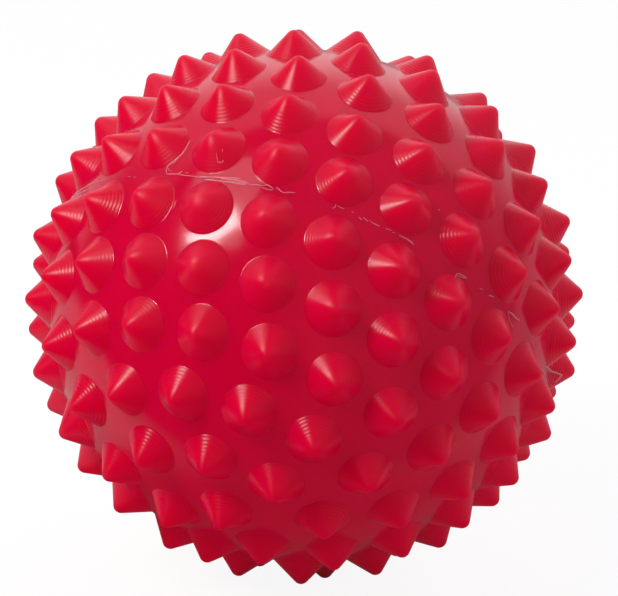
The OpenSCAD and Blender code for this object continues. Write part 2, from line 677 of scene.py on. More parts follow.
BEAD = (Flash(((-180.0, 0.0), (180.0, 0.0)), 0.28, 0.014, 0.03, closed=True),)
FINS = (
    Flash(((-102, 0.4), (-97, 0.62), (-92, 0.6), (-85.5, 0.3), (-81, 0.46), (-79, 0.85)), 0.24, 0.2, 0.05),
    Flash(((-84, 0.29), (-80.5, 0.27), (-77.7, 0.1), (-74.6, 0.04)), 0.22, 0.18, 0.05),
    Flash(((-102, 0.1), (-95, 0.12), (-90, -0.24), (-86.8, -0.45), (-83.2, -0.6)), 0.26, 0.24, 0.06),
    Flash(((-96, -0.35), (-92, -0.5), (-88.5, -0.62)), 0.2, 0.14, 0.06),
    Flash(((-67.5, -0.2), (-66.5, -0.45)), 0.2, 0.12, 0.02),
    Flash(((-65.5, -0.45), (-64.4, -0.6)), 0.2, 0.12, 0.02),
    Flash(
        (
            (-55.5, -0.22), (-56.1, 0.5), (-56.2, 1.2), (-55.8, 1.6), (-54.7, 2.1), (-54.6, 2.5),
            (-54.1, 3.16), (-53.6, 3.74), (-53.35, 4.42), (-53.3, 5.2), (-53.3, 6.5),
        ),
        0.2, 0.2, 0.02,
    ),
    Flash(((-56.15, 1.2), (-55.5, 0.65), (-54.6, 0.38)), 0.24, 0.22, 0.02),
    Flash(((-55.5, -0.2), (-53.7, -0.15), (-52.4, -0.08), (-52.0, 0.2), (-51.6, 0.5)), 0.24, 0.22, 0.02),
    Flash(((-52.4, -0.15), (-50.5, -0.26), (-48.7, -0.25), (-47, -0.33), (-45, -0.2)), 0.18, 0.16, 0.03),
    Flash(((-50.7, 0.27), (-49.8, 0.29)), 0.22, 0.16, 0.01),
    Flash(((-50.6, -4.6), (-50.6, -5.3), (-50.7, -6.0)), 0.16, 0.14, 0.02),
    Flash(((-43.4, 3.27), (-43.2, 2.73), (-42.9, 2.18), (-42.1, 2.38), (-41.8, 2.72)), 0.2, 0.2, 0.01),
    Flash(((-42.4, 4.1), (-42.3, 3.67)), 0.16, 0.14, 0.01),
    Flash(
        ((-47, -0.26), (-45.6, -0.13), (-43.2, 0.04), (-40.9, 0.21), (-39.1, 0.46), (-37, 0.58)),
        0.2, 0.17, 0.03,
    ),
    Flash(((-41.4, -0.02), (-39.1, 0.16), (-37.1, 0.19), (-35, 0.16)), 0.18, 0.15, 0.04),
    Flash(((-45.2, -0.58), (-42.4, -0.5), (-40.6, -0.42), (-38.5, -0.4), (-35.2, -0.32)), 0.24, 0.2, 0.03),
    Flash(((-36.4, -0.22), (-34, -0.02), (-32.6, 0.15), (-31.5, 0.2)), 0.18, 0.16, 0.03),
    Flash(((-32, 0.1), (-30.8, 0.55), (-30, 0.44), (-29.1, 0.15)), 0.22, 0.2, 0.03),
    Flash(((-31.6, -0.1), (-30.2, -0.2), (-29, -0.1)), 0.18, 0.14, 0.03),
    Flash(
        ((-28.6, 0.3), (-28.3, 0.52), (-27.3, 0.09), (-26.6, 0.0), (-25.5, 0.28), (-24.2, 0.55)),
        0.2, 0.19, 0.01,
    ),
    Flash(((-15.4, 0.02), (-14.9, 0.33), (-15.0, 0.9)), 0.22, 0.2, 0.02),
    Flash(((-14.7, 0.79), (-14.0, 0.67), (-12.9, 0.66)), 0.18, 0.16, 0.02),
    Flash(((-11.2, 0.7), (-10.7, 0.66)), 0.24, 0.18, 0.0),
    Flash(((-9.4, 0.34), (-8.4, 0.04)), 0.26, 0.18, 0.01),
    Flash(((-8.4, 0.54), (-7.1, 0.23)), 0.26, 0.2, 0.01),
    Flash(((-7.0, 0.62), (-6.2, 0.32), (-5.4, 0.28), (-4.3, 0.31)), 0.22, 0.19, 0.01),
    Flash(((-2.9, 0.36), (-1.5, 0.5)), 0.2, 0.14, 0.02),
    Flash(((-1.3, 0.27), (-0.6, 0.4)), 0.18, 0.12, 0.02),
    Flash(((0.4, 0.34), (1.3, 0.35), (2.2, 0.38), (3.1, 0.32), (4.3, 0.1)), 0.24, 0.2, 0.02),
    Flash(((7.0, 7.86), (7.5, 7.74)), 0.26, 0.2, 0.0),
    Flash(
        (
            (15.9, -1.35), (16.3, -1.1), (16.4, -0.55), (16.9, -0.22), (18.4, -0.08), (19.2, -0.1),
            (17.9, -0.46), (16.8, -0.6),
        ),
        0.2, 0.2, 0.01,
    ),
    Flash(((23.4, -0.16), (24.7, 0.04)), 0.2, 0.13, 0.02),
    Flash(((26.5, -0.14), (28.4, 0.3)), 0.2, 0.13, 0.03),
    Flash(((33.9, 0.14), (34.8, -0.53), (35.6, -1.0), (36.7, -1.24), (38.0, -1.4)), 0.24, 0.24, 0.03),
    Flash(((34.2, 0.08), (35.7, 0.31), (36.3, 0.17), (37.7, 0.23), (39.1, 0.54)), 0.22, 0.22, 0.03),
    Flash(((46.3, -0.1), (47.9, -0.28), (49.2, -0.4)), 0.2, 0.16, 0.03),
    Flash(((50.1, 0.28), (51.1, 0.06)), 0.26, 0.2, 0.01),
    Flash(((57.8, -1.05), (62, -0.6), (65.3, -0.35), (70, 0.4), (73.8, 1.0)), 0.24, 0.2, 0.05),
    Flash(
        ((60.4, 0.48), (64.5, 1.4), (68.5, 2.3), (71, 3.1), (72.4, 3.4), (72.9, 2.7), (73.2, 2.1)),
        0.3, 0.36, 0.03,
    ),
    Flash(((70, 0.1), (76, -0.05), (83, 0.1)), 0.22, 0.15, 0.1),
    Flash(((96, 0.2), (97, 0.8), (98.4, 1.1), (99, 0.4)), 0.22, 0.2, 0.04),
    Flash(((112, 0.0), (121, 0.12), (133, 0.0)), 0.22, 0.15, 0.12),
    Flash(((150, -0.2), (151, -0.8), (152.4, -0.5), (153.2, -1.2)), 0.22, 0.2, 0.04),
    Flash(((171, 0.3), (183, 0.2), (195, 0.35), (204, 0.1)), 0.22, 0.15, 0.12),
    Flash(((175, -0.3), (188, -0.2), (199, -0.3)), 0.24, 0.16, 0.12),
    Flash(((222, 0.0), (229, 0.1), (238, 0.0)), 0.24, 0.16, 0.1),
)


@dataclass
class HalfShell:
    """One moulded half as a closed solid: spiked skin, hollow inside and the flat face of the weld."""

    half: Half
    rings: SpikeRings
    profile: SpikeProfile
    valve: ValveSizes
    spike_sides: int = 48
    weld_sides: int = 288
    pole_sides: int = 48
    skin_step: float = 1.1
    edge_h: float = 0.16
    edge_dip: float = 0.02
    bore_steps: int = 14
    lip: float = 0.08
    gate_r: float = 0.9
    gate_h: float = 0.14
    gate_dip: float = 0.01
    merge: float = 1e-7

    def _spikes(self, mesh: ShapeMesh) -> tuple[list[list[int]], np.ndarray]:
        """Adds the spikes, and returns the rings of points at their feet and their directions."""
        outline = self.profile.points()
        ways = self.rings.ways(self.half) * [1.0, 1.0, self.half.value]
        feet = []
        for number, way in enumerate(ways):
            turn = frame_about(way)
            seed = float(number + 1)
            tip = mesh.add([way * self.rings.sizes.reach], [way], 0.0, seed, way)[0]
            last = None
            for step, p in enumerate(outline):
                mesh.finish = 1 if step < self.profile.tip_steps + self.profile.flank_steps else 0
                points = ring_points(p.r, p.h, self.spike_sides) @ turn.T
                normals = ring_normals(p.out, p.up, self.spike_sides) @ turn.T
                ring = mesh.add(points, normals, p.r, seed, way)
                if last is None:
                    mesh.fan(ring, tip)
                else:
                    mesh.bridge(ring, last)
                last = ring
            feet.append(last)
        return feet, ways

    def _ring(self, mesh: ShapeMesh, p: ProfilePoint, sides: int) -> list[int]:
        """Adds one level ring of points about the mould's axis."""
        return mesh.add(ring_points(p.r, p.h, sides), ring_normals(p.out, p.up, sides))

    @staticmethod
    def _on_sphere(radius: float, angle: float, side: float = 1.0) -> ProfilePoint:
        """Gives a sphere's outline point at an angle above the weld, its normal inward where side is -1."""
        out, up = math.cos(angle), math.sin(angle)
        return ProfilePoint(radius * out, radius * up, side * out, side * up)

    def _seat_rows(self) -> list[ProfilePoint]:
        """Lists the outline of the valve's seat and boss, from the skin to the hollow."""
        s, v, lip = self.rings.sizes, self.valve, self.lip
        seat_z, boss_end = s.skin_r - v.plug_inset, s.bore_r - v.boss_l
        seat_r = v.plug_head_d / 2 + v.head_clearance
        top = math.sqrt(s.skin_r**2 - (seat_r + lip) ** 2)
        bore, boss_r = v.sleeve_d / 2 + v.sleeve_clearance, v.boss_d / 2
        return [
            ProfilePoint(seat_r + lip, top, 0.05, 1.0),
            ProfilePoint(seat_r + lip * 0.3, top - lip * 0.3, -0.7, 0.7),
            ProfilePoint(seat_r, top - lip, -1.0, 0.1),
            ProfilePoint(seat_r, seat_z + lip, -1.0, 0.0),
            ProfilePoint(seat_r - lip * 0.5, seat_z, -0.3, 1.0),
            ProfilePoint(bore + lip * 0.3, seat_z, 0.0, 1.0),
            ProfilePoint(bore, seat_z - lip * 0.3, -1.0, 0.2),
            ProfilePoint(bore, boss_end + lip, -1.0, 0.0),
            ProfilePoint(bore, boss_end, -0.7, -0.7),
            ProfilePoint(boss_r - lip, boss_end, 0.1, -1.0),
            ProfilePoint(boss_r, boss_end + lip, 1.0, -0.1),
            ProfilePoint(boss_r, math.sqrt(s.bore_r**2 - boss_r**2), 0.7, -0.7),
        ]

    def _gate_rows(self) -> list[ProfilePoint]:
        """Lists the outline of the gate's mark, from the skin to the pole."""
        skin_r, r, h = self.rings.sizes.skin_r, self.gate_r, self.gate_h
        return [
            ProfilePoint(r * 1.5, math.sqrt(skin_r**2 - (r * 1.5) ** 2), 0.03, 1.0),
            ProfilePoint(r, skin_r - self.gate_dip, 0.1, 1.0),
            ProfilePoint(r * 0.9, skin_r + h * 0.8, 0.8, 0.6),
            ProfilePoint(r * 0.75, skin_r + h, 0.1, 1.0),
            ProfilePoint(r * 0.3, skin_r + h * 0.5, -0.2, 1.0),
        ]

    def _pole(self, mesh: ShapeMesh) -> tuple[list[int], list[int] | None]:
        """Adds the pole: the valve's seat on the upper half, the gate's mark on the lower.

        Args:
            mesh: The half's mesh.

        Returns:
            The ring where the skin ends, and the innermost ring where the inside begins, if there is a hole.
        """
        outline = self._seat_rows() if self.half is Half.UPPER else self._gate_rows()
        rings = [self._ring(mesh, p, self.pole_sides) for p in outline]
        for outer, inner in zip(rings, rings[1:], strict=False):
            mesh.bridge(outer, inner)
        if self.half is Half.UPPER:
            return rings[0], rings[-1]
        top = self.rings.sizes.skin_r + self.gate_h * 0.4
        mesh.fan(rings[-1], mesh.add([[0.0, 0.0, top]], [[0.0, 0.0, 1.0]])[0])
        return rings[0], None

    def _inside(self, mesh: ShapeMesh, edge: list[int], inner_edge: list[int] | None) -> None:
        """Adds the weld's flat face, the thick rim and the hollow.

        Args:
            mesh: The half's mesh.
            edge: The ring at the skin's lower edge.
            inner_edge: The ring where the boss meets the hollow, or none if the hollow has no hole.
        """
        s = self.rings.sizes
        land_r = s.bore_r - s.weld_land_w
        land_top = math.asin(s.weld_land_h / s.bore_r)
        pole_edge = math.pi / 2 - math.asin(self.valve.boss_d / 2 / s.bore_r)
        rows = [
            ProfilePoint(land_r, 0.0, -0.7, -0.7),
            ProfilePoint(land_r, s.weld_land_h, -0.7, 0.7),
            ProfilePoint(s.bore_r * math.cos(land_top), s.weld_land_h, -0.7, 0.7),
        ]
        for i in range(1, self.bore_steps):
            angle = land_top + (pole_edge - land_top) * i / self.bore_steps
            rows.append(self._on_sphere(s.bore_r, angle, -1.0))
        last = edge
        for p in rows:
            ring = self._ring(mesh, p, self.weld_sides)
            mesh.bridge(ring, last)
            last = ring
        if inner_edge is None:
            inner_edge = self._ring(mesh, self._on_sphere(s.bore_r, pole_edge, -1.0), self.pole_sides)
            middle = mesh.add([[0.0, 0.0, s.bore_r]], [[0.0, 0.0, -1.0]])[0]
            mesh.fan(inner_edge[::-1], middle)
        mesh.bridge_finer(last[::-1], inner_edge[::-1])

    def _skin(
        self, mesh: ShapeMesh, feet: list[list[int]], ways: np.ndarray, edge: list[int], pole: list[int]
    ) -> None:
        """Adds the skin between the spikes as a Delaunay triangulation of evenly spread points.

        The points are mapped to a plane from the far pole, which keeps circles round and the rule of the
        triangulation.

        Args:
            mesh: The half's mesh.
            feet: The rings at the spikes' feet.
            ways: The spikes' directions.
            edge: The ring at the skin's lower edge.
            pole: The ring where the skin ends at the pole.
        """
        s = self.rings.sizes
        total = round(4 * math.pi * s.skin_r**2 / self.skin_step**2)
        i = np.arange(total) + 0.5
        z = 1 - 2 * i / total
        lon = math.pi * (1 + math.sqrt(5)) * i
        spread = np.column_stack([np.sqrt(1 - z**2) * np.cos(lon), np.sqrt(1 - z**2) * np.sin(lon), z])
        room = self.skin_step * 0.45
        foot_r = self.profile.points()[-1].r + room
        pole_r = np.linalg.norm(np.concatenate(mesh.points)[pole[0], :2]) + room
        keep = z * s.skin_r > self.edge_h + room
        keep &= np.hypot(spread[:, 0], spread[:, 1]) * s.skin_r > pole_r
        keep &= (spread @ ways.T).max(axis=1) < math.cos(foot_r / s.skin_r)
        filler = mesh.add(spread[keep] * s.skin_r, spread[keep])
        every = np.concatenate(mesh.points)
        loops = feet + [edge, pole]
        chosen = [i for loop in loops for i in loop] + filler
        place = {index: at for at, index in enumerate(chosen)}
        flat = every[chosen][:, :2] / (s.skin_r + every[chosen][:, 2:3])
        sides = [side for loop in loops for side in zip(loop, loop[1:] + loop[:1], strict=True)]
        edges = [(place[a], place[b]) for a, b in sides]
        spots = [Vector(p) for p in flat]
        _, _, triangles, originals, _, _ = delaunay_2d_cdt(spots, edges, [], 0, self.merge)
        owner = {index: number for number, loop in enumerate(feet + [pole]) for index in loop}
        for triangle in triangles:
            corners = [chosen[originals[c][0]] for c in triangle]
            owners = {owner.get(c, -1 - k) for k, c in enumerate(corners)}
            if len(owners) > 1:
                mesh.face(tuple(corners))

    def build(self, name: str, lie: np.ndarray) -> bpy.types.Object:
        """Builds the half's object.

        Args:
            name: The object's name.
            lie: The matrix from the mould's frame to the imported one.

        Returns:
            The new object.
        """
        mesh = ShapeMesh(name)
        feet, ways = self._spikes(mesh)
        s = self.rings.sizes
        lip_rows = (
            self._on_sphere(s.skin_r, self.edge_h / s.skin_r),
            ProfilePoint(s.skin_r - self.edge_dip * 0.3, self.edge_h * 0.35, 0.9, -0.4),
            ProfilePoint(s.skin_r - self.edge_dip, 0.0, 0.5, -0.85),
        )
        skin_edge, bend, weld_edge = (self._ring(mesh, p, self.weld_sides) for p in lip_rows)
        mesh.bridge(bend, skin_edge)
        mesh.bridge(weld_edge, bend)
        pole, inner = self._pole(mesh)
        self._inside(mesh, weld_edge, inner)
        self._skin(mesh, feet, ways, skin_edge, pole)
        return mesh.make(lie, mirrored=self.half is Half.LOWER)


@dataclass
class AirValve:
    """The valve: a rubber sleeve in the boss, and the vinyl plug that is pulled out of it."""

    sizes: BallSizes
    valve: ValveSizes
    sides: int = 96
    bevel: float = 0.12
    stem_clearance: float = 0.05
    stem_round: float = 0.5
    stem_flat_r: float = 0.25
    neck_round: float = 0.15
    head_edge: float = 0.1
    head_round: float = 0.42
    round_steps: int = 5
    dome: float = 0.16
    dome_steps: int = 26
    slot_w: float = 0.55
    slot_l: float = 2.9
    slot_deep: float = 0.4
    slot_lip: float = 0.12
    slot_side: float = 0.16
    slot_end: float = 0.24
    slope_step: float = 0.02

    def _turned(self, mesh: ShapeMesh, rows: list[ProfilePoint], closed: bool) -> list[list[int]]:
        """Adds a turned outline, from the bottom outwards and up, and returns its rings of points."""
        n = self.sides
        rings = [mesh.add(ring_points(p.r, p.h, n), ring_normals(p.out, p.up, n)) for p in rows]
        for low, high in zip(rings, rings[1:] + (rings[:1] if closed else []), strict=closed):
            mesh.bridge(low, high)
        return rings

    def _quarter(self, mid_r: float, mid_h: float, radius: float, start: float) -> list[ProfilePoint]:
        """Lists the points of a quarter round that begins at an angle, about the given middle."""
        rows = []
        for i in range(self.round_steps + 1):
            t = start + math.pi / 2 * i / self.round_steps
            out, up = math.cos(t), math.sin(t)
            rows.append(ProfilePoint(mid_r + radius * out, mid_h + radius * up, out, up))
        return rows

    def sleeve(self, name: str, lie: np.ndarray) -> bpy.types.Object:
        """Builds the sleeve with its flange inside the ball."""
        s, v, b = self.sizes, self.valve, self.bevel
        seat_z = s.skin_r - v.plug_inset
        boss_end = s.bore_r - v.boss_l
        r, bore, flange = v.sleeve_d / 2, v.plug_stem_d / 2 + self.stem_clearance, v.flange_d / 2
        low = boss_end - v.flange_h
        rows = [
            ProfilePoint(bore, low + b, -1.0, -0.2),
            ProfilePoint(bore + b, low, -0.3, -1.0),
            ProfilePoint(flange - b, low, 0.2, -1.0),
            ProfilePoint(flange, low + b, 1.0, -0.3),
            ProfilePoint(flange, boss_end - b, 1.0, 0.3),
            ProfilePoint(flange - b, boss_end, 0.3, 1.0),
            ProfilePoint(r, boss_end, 0.7, 0.7),
            ProfilePoint(r, seat_z - b, 1.0, 0.2),
            ProfilePoint(r - b, seat_z, 0.3, 1.0),
            ProfilePoint(bore + b, seat_z, -0.3, 1.0),
            ProfilePoint(bore, seat_z - b, -1.0, 0.2),
        ]
        mesh = ShapeMesh(name)
        self._turned(mesh, rows, closed=True)
        return mesh.make(lie)

    def plug(self, name: str, lie: np.ndarray) -> bpy.types.Object:
        """Builds the plug: a stem with a rounded end, and a domed head with a slot for a coin or a nail."""
        s, v = self.sizes, self.valve
        seat_z = s.skin_r - v.plug_inset
        top = seat_z + v.plug_head_h
        r, head, low = v.plug_stem_d / 2, v.plug_head_d / 2, seat_z - v.plug_stem_l
        stem_mid, flat_r = r - self.stem_round, head - self.head_round
        rows = [
            ProfilePoint(self.stem_flat_r, low, 0.0, -1.0),
            *self._quarter(stem_mid, low + self.stem_round, self.stem_round, -math.pi / 2),
            ProfilePoint(r, seat_z - self.neck_round, 1.0, 0.0),
            ProfilePoint(r + self.neck_round, seat_z, 0.5, -0.85),
            ProfilePoint(head - self.head_edge, seat_z, 0.2, -1.0),
            ProfilePoint(head, seat_z + self.head_edge, 1.0, -0.2),
            *self._quarter(flat_r, top - self.dome - self.head_round, self.head_round, 0.0),
        ]
        mesh = ShapeMesh(name)
        rings = self._turned(mesh, rows, closed=False)
        bottom = mesh.add([[0.0, 0.0, low]], [[0.0, 0.0, -1.0]])[0]
        mesh.fan(rings[0][::-1], bottom)
        last = rings[-1]
        for i in range(1, self.dome_steps):
            points = ring_points(flat_r * (1 - i / self.dome_steps), 0.0, self.sides)
            points[:, 2], normals = self._head_top(points, top, flat_r)
            ring = mesh.add(points, normals)
            mesh.bridge(last, ring)
            last = ring
        centre = np.zeros((1, 3))
        centre[:, 2], normals = self._head_top(centre, top, flat_r)
        mesh.fan(last, mesh.add(centre, normals)[0])
        return mesh.make(lie)

    def _head_top(self, points: np.ndarray, top: float, flat_r: float) -> tuple[np.ndarray, np.ndarray]:
        """Gives the height and normals of the head's domed top, its slot cut in.

        Args:
            points: Points whose first two columns are used.
            top: Height of the dome's middle without the slot.
            flat_r: Radius at which the dome begins.

        Returns:
            The heights, and one normal in each row.
        """

        def height(x: np.ndarray, y: np.ndarray) -> np.ndarray:
            """Gives the height at a point."""
            dome = self.dome * (1 - (x**2 + y**2) / flat_r**2)
            inside = np.clip((self.slot_w / 2 + self.slot_lip - np.abs(y)) / self.slot_side, 0, 1)
            inside *= np.clip((self.slot_l / 2 + self.slot_lip - np.abs(x)) / self.slot_end, 0, 1)
            return top - self.dome + dome - self.slot_deep * inside * inside * (3 - 2 * inside)

        x, y, e = points[:, 0], points[:, 1], self.slope_step
        slope_x = (height(x + e, y) - height(x - e, y)) / (2 * e)
        slope_y = (height(x, y + e) - height(x, y - e)) / (2 * e)
        normals = np.column_stack([-slope_x, -slope_y, np.ones_like(x)])
        return height(x, y), normals / np.linalg.norm(normals, axis=1)[:, None]


@dataclass(frozen=True)
class SoftVinyl:
    """Plasticised PVC, moulded in a bored steel tool: glossy skin, and cones with the bore's turned rings.

    The skin mirrors the soft box with slightly soft edges. The rings stretch a cone's highlight along its flank
    and break it into short lines, and the cone's tip, where the drill's point left a coarser face, is duller.
    Red light goes millimetres deep, so the cones' shaded sides glow. Near the weld it stays short, or it would
    be lost through the faces that the two halves share. Rings and grain are drawn as coarse as they need to be
    to show. Lengths are in millimetres, and in metres where MM stands with them.
    """

    weld_axis: tuple[float, float, float]
    name: str = "soft_vinyl"
    colour: str = "#F60043"
    deep_colour: str = "#EE003F"
    cloud_size: float = 9.0
    ior: float = 1.56
    specular_level: float = 0.5
    sheen: float = 0.0
    sheen_roughness: float = 0.4
    roughness: float = 0.13
    roughness_spread: float = 0.03
    stretch: float = 0.0
    tip_roughness: float = 0.46
    tip_reach: tuple[float, float] = (0.6, 2.8)
    tip_grain_size: float = 0.2
    tip_grain_shift: float = 0.9
    scatter: float = 1.0
    scatter_depth: tuple[float, float, float] = (4.2, 0.7, 0.4)
    scatter_scale: Ramp = Ramp(0.0, 1.8 * MM, 0.06 * MM, MM, smooth=False)
    ring_pitch: float = 0.42
    ring_depth: float = 0.013
    ring_wander: float = 0.35
    wander_size: float = 2.5
    ring_growth: Ramp = Ramp(1.0, 3.4, 0.1, 1.0)
    ring_end: Ramp = Ramp(4.25, 4.5, 1.0, 0.0)
    ring_share: Ramp = Ramp(0.0, 1.0, 0.3, 1.4, smooth=False)
    grain_size: float = 0.5
    grain_depth: float = 0.0035

    def _rings(
        self, tree: bpy.types.NodeTree, place: bpy.types.NodeSocket, axis_r: bpy.types.NodeSocket
    ) -> bpy.types.NodeSocket:
        """Adds the relief of the turned rings, which follow each spike's own axis and differ in depth.

        Args:
            tree: The node tree that gets the nodes.
            place: The place on the ball.
            axis_r: The distance from the spike's axis.

        Returns:
            The bumped normal.
        """
        seed = add_node(tree, "ShaderNodeAttribute", {"attribute_name": "spike_seed"}, "Fac")
        noise_scale = 1 / (self.wander_size * MM)
        wander = add_node(
            tree, "ShaderNodeTexNoise", {"Vector": place, "Scale": noise_scale, "Detail": 1.0}, "Fac"
        )
        phase = add_node(
            tree, "ShaderNodeMath", {"operation": "MULTIPLY_ADD", 0: wander, 1: self.ring_wander, 2: seed}
        )
        turns = add_node(
            tree, "ShaderNodeMath", {"operation": "MULTIPLY_ADD", 0: axis_r, 1: 1 / self.ring_pitch, 2: phase}
        )
        angle = add_node(tree, "ShaderNodeMath", {"operation": "MULTIPLY", 0: turns, 1: 2 * math.pi})
        wave = add_node(tree, "ShaderNodeMath", {"operation": "SINE", 0: angle})
        own = add_node(tree, "ShaderNodeTexWhiteNoise", {"noise_dimensions": "1D", "W": seed}, "Value")
        depth = add_product(tree, (self.ring_growth, axis_r), (self.ring_end, axis_r), (self.ring_share, own))
        height = add_node(tree, "ShaderNodeMath", {"operation": "MULTIPLY", 0: wave, 1: depth})
        relief = {"Height": height, "Distance": self.ring_depth * MM}
        return add_node(tree, "ShaderNodeBump", relief, "Normal")

    def make(self) -> bpy.types.Material:
        """Makes the material."""
        material, tree = new_material(self.name)
        place = add_node(tree, "ShaderNodeTexCoord", output="Object")
        axis_r = add_node(tree, "ShaderNodeAttribute", {"attribute_name": "axis_r"}, "Fac")
        spike_way = add_node(tree, "ShaderNodeAttribute", {"attribute_name": "spike_way"}, "Vector")
        cloud, grain, pits = (
            add_node(
                tree,
                "ShaderNodeTexNoise",
                {"Vector": place, "Scale": 1 / (size * MM), "Detail": detail},
                "Fac",
            )
            for size, detail in ((self.cloud_size, 2.0), (self.grain_size, 3.0), (self.tip_grain_size, 2.0))
        )
        colours = {6: linear(self.deep_colour), 7: linear(self.colour)}
        colour = add_node(tree, "ShaderNodeMix", {"data_type": "RGBA", 0: cloud} | colours, 2)
        rings = self._rings(tree, place, axis_r)
        relief = {"Height": grain, "Normal": rings, "Distance": self.grain_depth * MM}
        normal = add_node(tree, "ShaderNodeBump", relief, "Normal")
        above = add_node(
            tree, "ShaderNodeVectorMath", {"operation": "DOT_PRODUCT", 0: place, 1: self.weld_axis}, "Value"
        )
        off_weld = add_node(tree, "ShaderNodeMath", {"operation": "ABSOLUTE", 0: above})
        spread = (self.roughness - self.roughness_spread, self.roughness + self.roughness_spread)
        clouded = add_node(
            tree, "ShaderNodeMapRange", Ramp(0.0, 1.0, *spread, smooth=False).settings(cloud), "Result"
        )
        # The pits shift the edge of a tip's duller face, so that no sharp circle shows there
        from_tip = add_node(
            tree, "ShaderNodeMath", {"operation": "MULTIPLY_ADD", 0: pits, 1: self.tip_grain_shift, 2: axis_r}
        )
        tip_gloss = Ramp(*self.tip_reach, self.tip_roughness, clouded)
        gloss = add_node(tree, "ShaderNodeMapRange", tip_gloss.settings(from_tip), "Result")
        reach = add_node(tree, "ShaderNodeMapRange", self.scatter_scale.settings(off_weld), "Result")
        shader = add_node(
            tree,
            "ShaderNodeBsdfPrincipled",
            {
                "Base Color": colour,
                "Normal": normal,
                "Tangent": spike_way,
                "Roughness": gloss,
                "Anisotropic": self.stretch,
                "IOR": self.ior,
                "Specular IOR Level": self.specular_level,
                "Subsurface Weight": self.scatter,
                "Subsurface Radius": self.scatter_depth,
                "Subsurface Scale": reach,
                "Sheen Weight": self.sheen,
                "Sheen Roughness": self.sheen_roughness,
            },
        )
        add_node(tree, "ShaderNodeOutputMaterial", {"Surface": shader})
        return material


@dataclass(frozen=True)
class ValveRubber:
    """Black moulded rubber of the valve's sleeve.

    It is matte, with a faint grey bloom whose patches are drawn as coarse as they need to be to show.
    """

    name: str = "valve_rubber"
    colour: str = "#1B1A1C"
    bloom: str = "#2C2A2D"
    bloom_size: float = 0.8
    bloom_depth: float = 0.006
    roughness: float = 0.62
    ior: float = 1.52

    def make(self) -> bpy.types.Material:
        """Makes the material."""
        material, tree = new_material(self.name)
        place = add_node(tree, "ShaderNodeTexCoord", output="Object")
        noise_scale = 1 / (self.bloom_size * MM)
        cloud = add_node(
            tree, "ShaderNodeTexNoise", {"Vector": place, "Scale": noise_scale, "Detail": 4.0}, "Fac"
        )
        colours = {6: linear(self.colour), 7: linear(self.bloom)}
        colour = add_node(tree, "ShaderNodeMix", {"data_type": "RGBA", 0: cloud} | colours, 2)
        relief = {"Height": cloud, "Distance": self.bloom_depth * MM}
        normal = add_node(tree, "ShaderNodeBump", relief, "Normal")
        values = {"Base Color": colour, "Normal": normal, "Roughness": self.roughness, "IOR": self.ior}
        shader = add_node(tree, "ShaderNodeBsdfPrincipled", values)
        add_node(tree, "ShaderNodeOutputMaterial", {"Surface": shader})
        return material


@dataclass(frozen=True)
class PlugVinyl:
    """Injection moulded PVC of the plug.

    It has the ball's red, but is a little harder, and duller from the mould's fine grain.
    """

    name: str = "plug_vinyl"
    colour: str = "#C8102E"
    grain_size: float = 0.35
    grain_depth: float = 0.004
    gloss: Ramp = Ramp(0.0, 1.0, 0.33, 0.44, smooth=False)
    ior: float = 1.53

    def make(self) -> bpy.types.Material:
        """Makes the material."""
        material, tree = new_material(self.name)
        place = add_node(tree, "ShaderNodeTexCoord", output="Object")
        noise_scale = 1 / (self.grain_size * MM)
        grain = add_node(
            tree, "ShaderNodeTexNoise", {"Vector": place, "Scale": noise_scale, "Detail": 3.0}, "Fac"
        )
        relief = {"Height": grain, "Distance": self.grain_depth * MM}
        normal = add_node(tree, "ShaderNodeBump", relief, "Normal")
        values = {"Base Color": linear(self.colour), "Normal": normal, "IOR": self.ior}
        gloss = add_node(tree, "ShaderNodeMapRange", self.gloss.settings(grain), "Result")
        shader = add_node(tree, "ShaderNodeBsdfPrincipled", values | {"Roughness": gloss})
        add_node(tree, "ShaderNodeOutputMaterial", {"Surface": shader})
        return material


@dataclass(frozen=True)
class PhotoView:
    """The photograph's view of the ball, and the directions that are given in it.

    A direction in the picture is right, up and towards the viewer.
    """

    elevation: float = math.radians(18.8)
    roll: float = math.radians(0.29)
    tip_radii_away: float = 30.0
    ball_x: float = 303.6
    ball_y: float = 305.2
    tip_circle_r: float = 279.5
    sensor: float = 36.0
    clip: tuple[float, float] = (0.01, 50.0)

    def axes(self) -> np.ndarray:
        """Gives the picture's right, up and viewer directions as a matrix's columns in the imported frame."""
        c, s = math.cos(self.elevation), math.sin(self.elevation)
        level, up, viewer = np.array([1.0, 0.0, 0.0]), np.array([0.0, s, c]), np.array([0.0, -c, s])
        cr, sr = math.cos(self.roll), math.sin(self.roll)
        return np.column_stack([cr * level - sr * up, sr * level + cr * up, viewer])

    def direction(self, right: float, up: float, viewer: float) -> np.ndarray:
        """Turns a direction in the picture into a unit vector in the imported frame."""
        way = self.axes() @ np.array([right, up, viewer])
        return way / np.linalg.norm(way)

    def add_camera(self, reach: float) -> None:
        """Adds the camera.

        Args:
            reach: The radius over the ball's tips, in metres.
        """
        camera = bpy.data.cameras.new("photo_camera")
        pixels = self.tip_circle_r * math.sqrt(self.tip_radii_away**2 - 1)
        camera.sensor_fit = "HORIZONTAL"
        camera.sensor_width = self.sensor
        camera.lens = pixels / PHOTO_WIDTH * self.sensor
        camera.shift_x = (PHOTO_WIDTH / 2 - self.ball_x) / PHOTO_WIDTH
        camera.shift_y = (self.ball_y - PHOTO_HEIGHT / 2) / PHOTO_WIDTH
        camera.clip_start, camera.clip_end = self.clip
        holder = bpy.data.objects.new("photo_camera", camera)
        bpy.context.scene.collection.objects.link(holder)
        axes = self.axes()
        matrix = Matrix(axes.tolist()).to_4x4()
        matrix.translation = Vector(axes[:, 2] * reach * self.tip_radii_away)
        holder.matrix_world = matrix
        bpy.context.scene.camera = holder


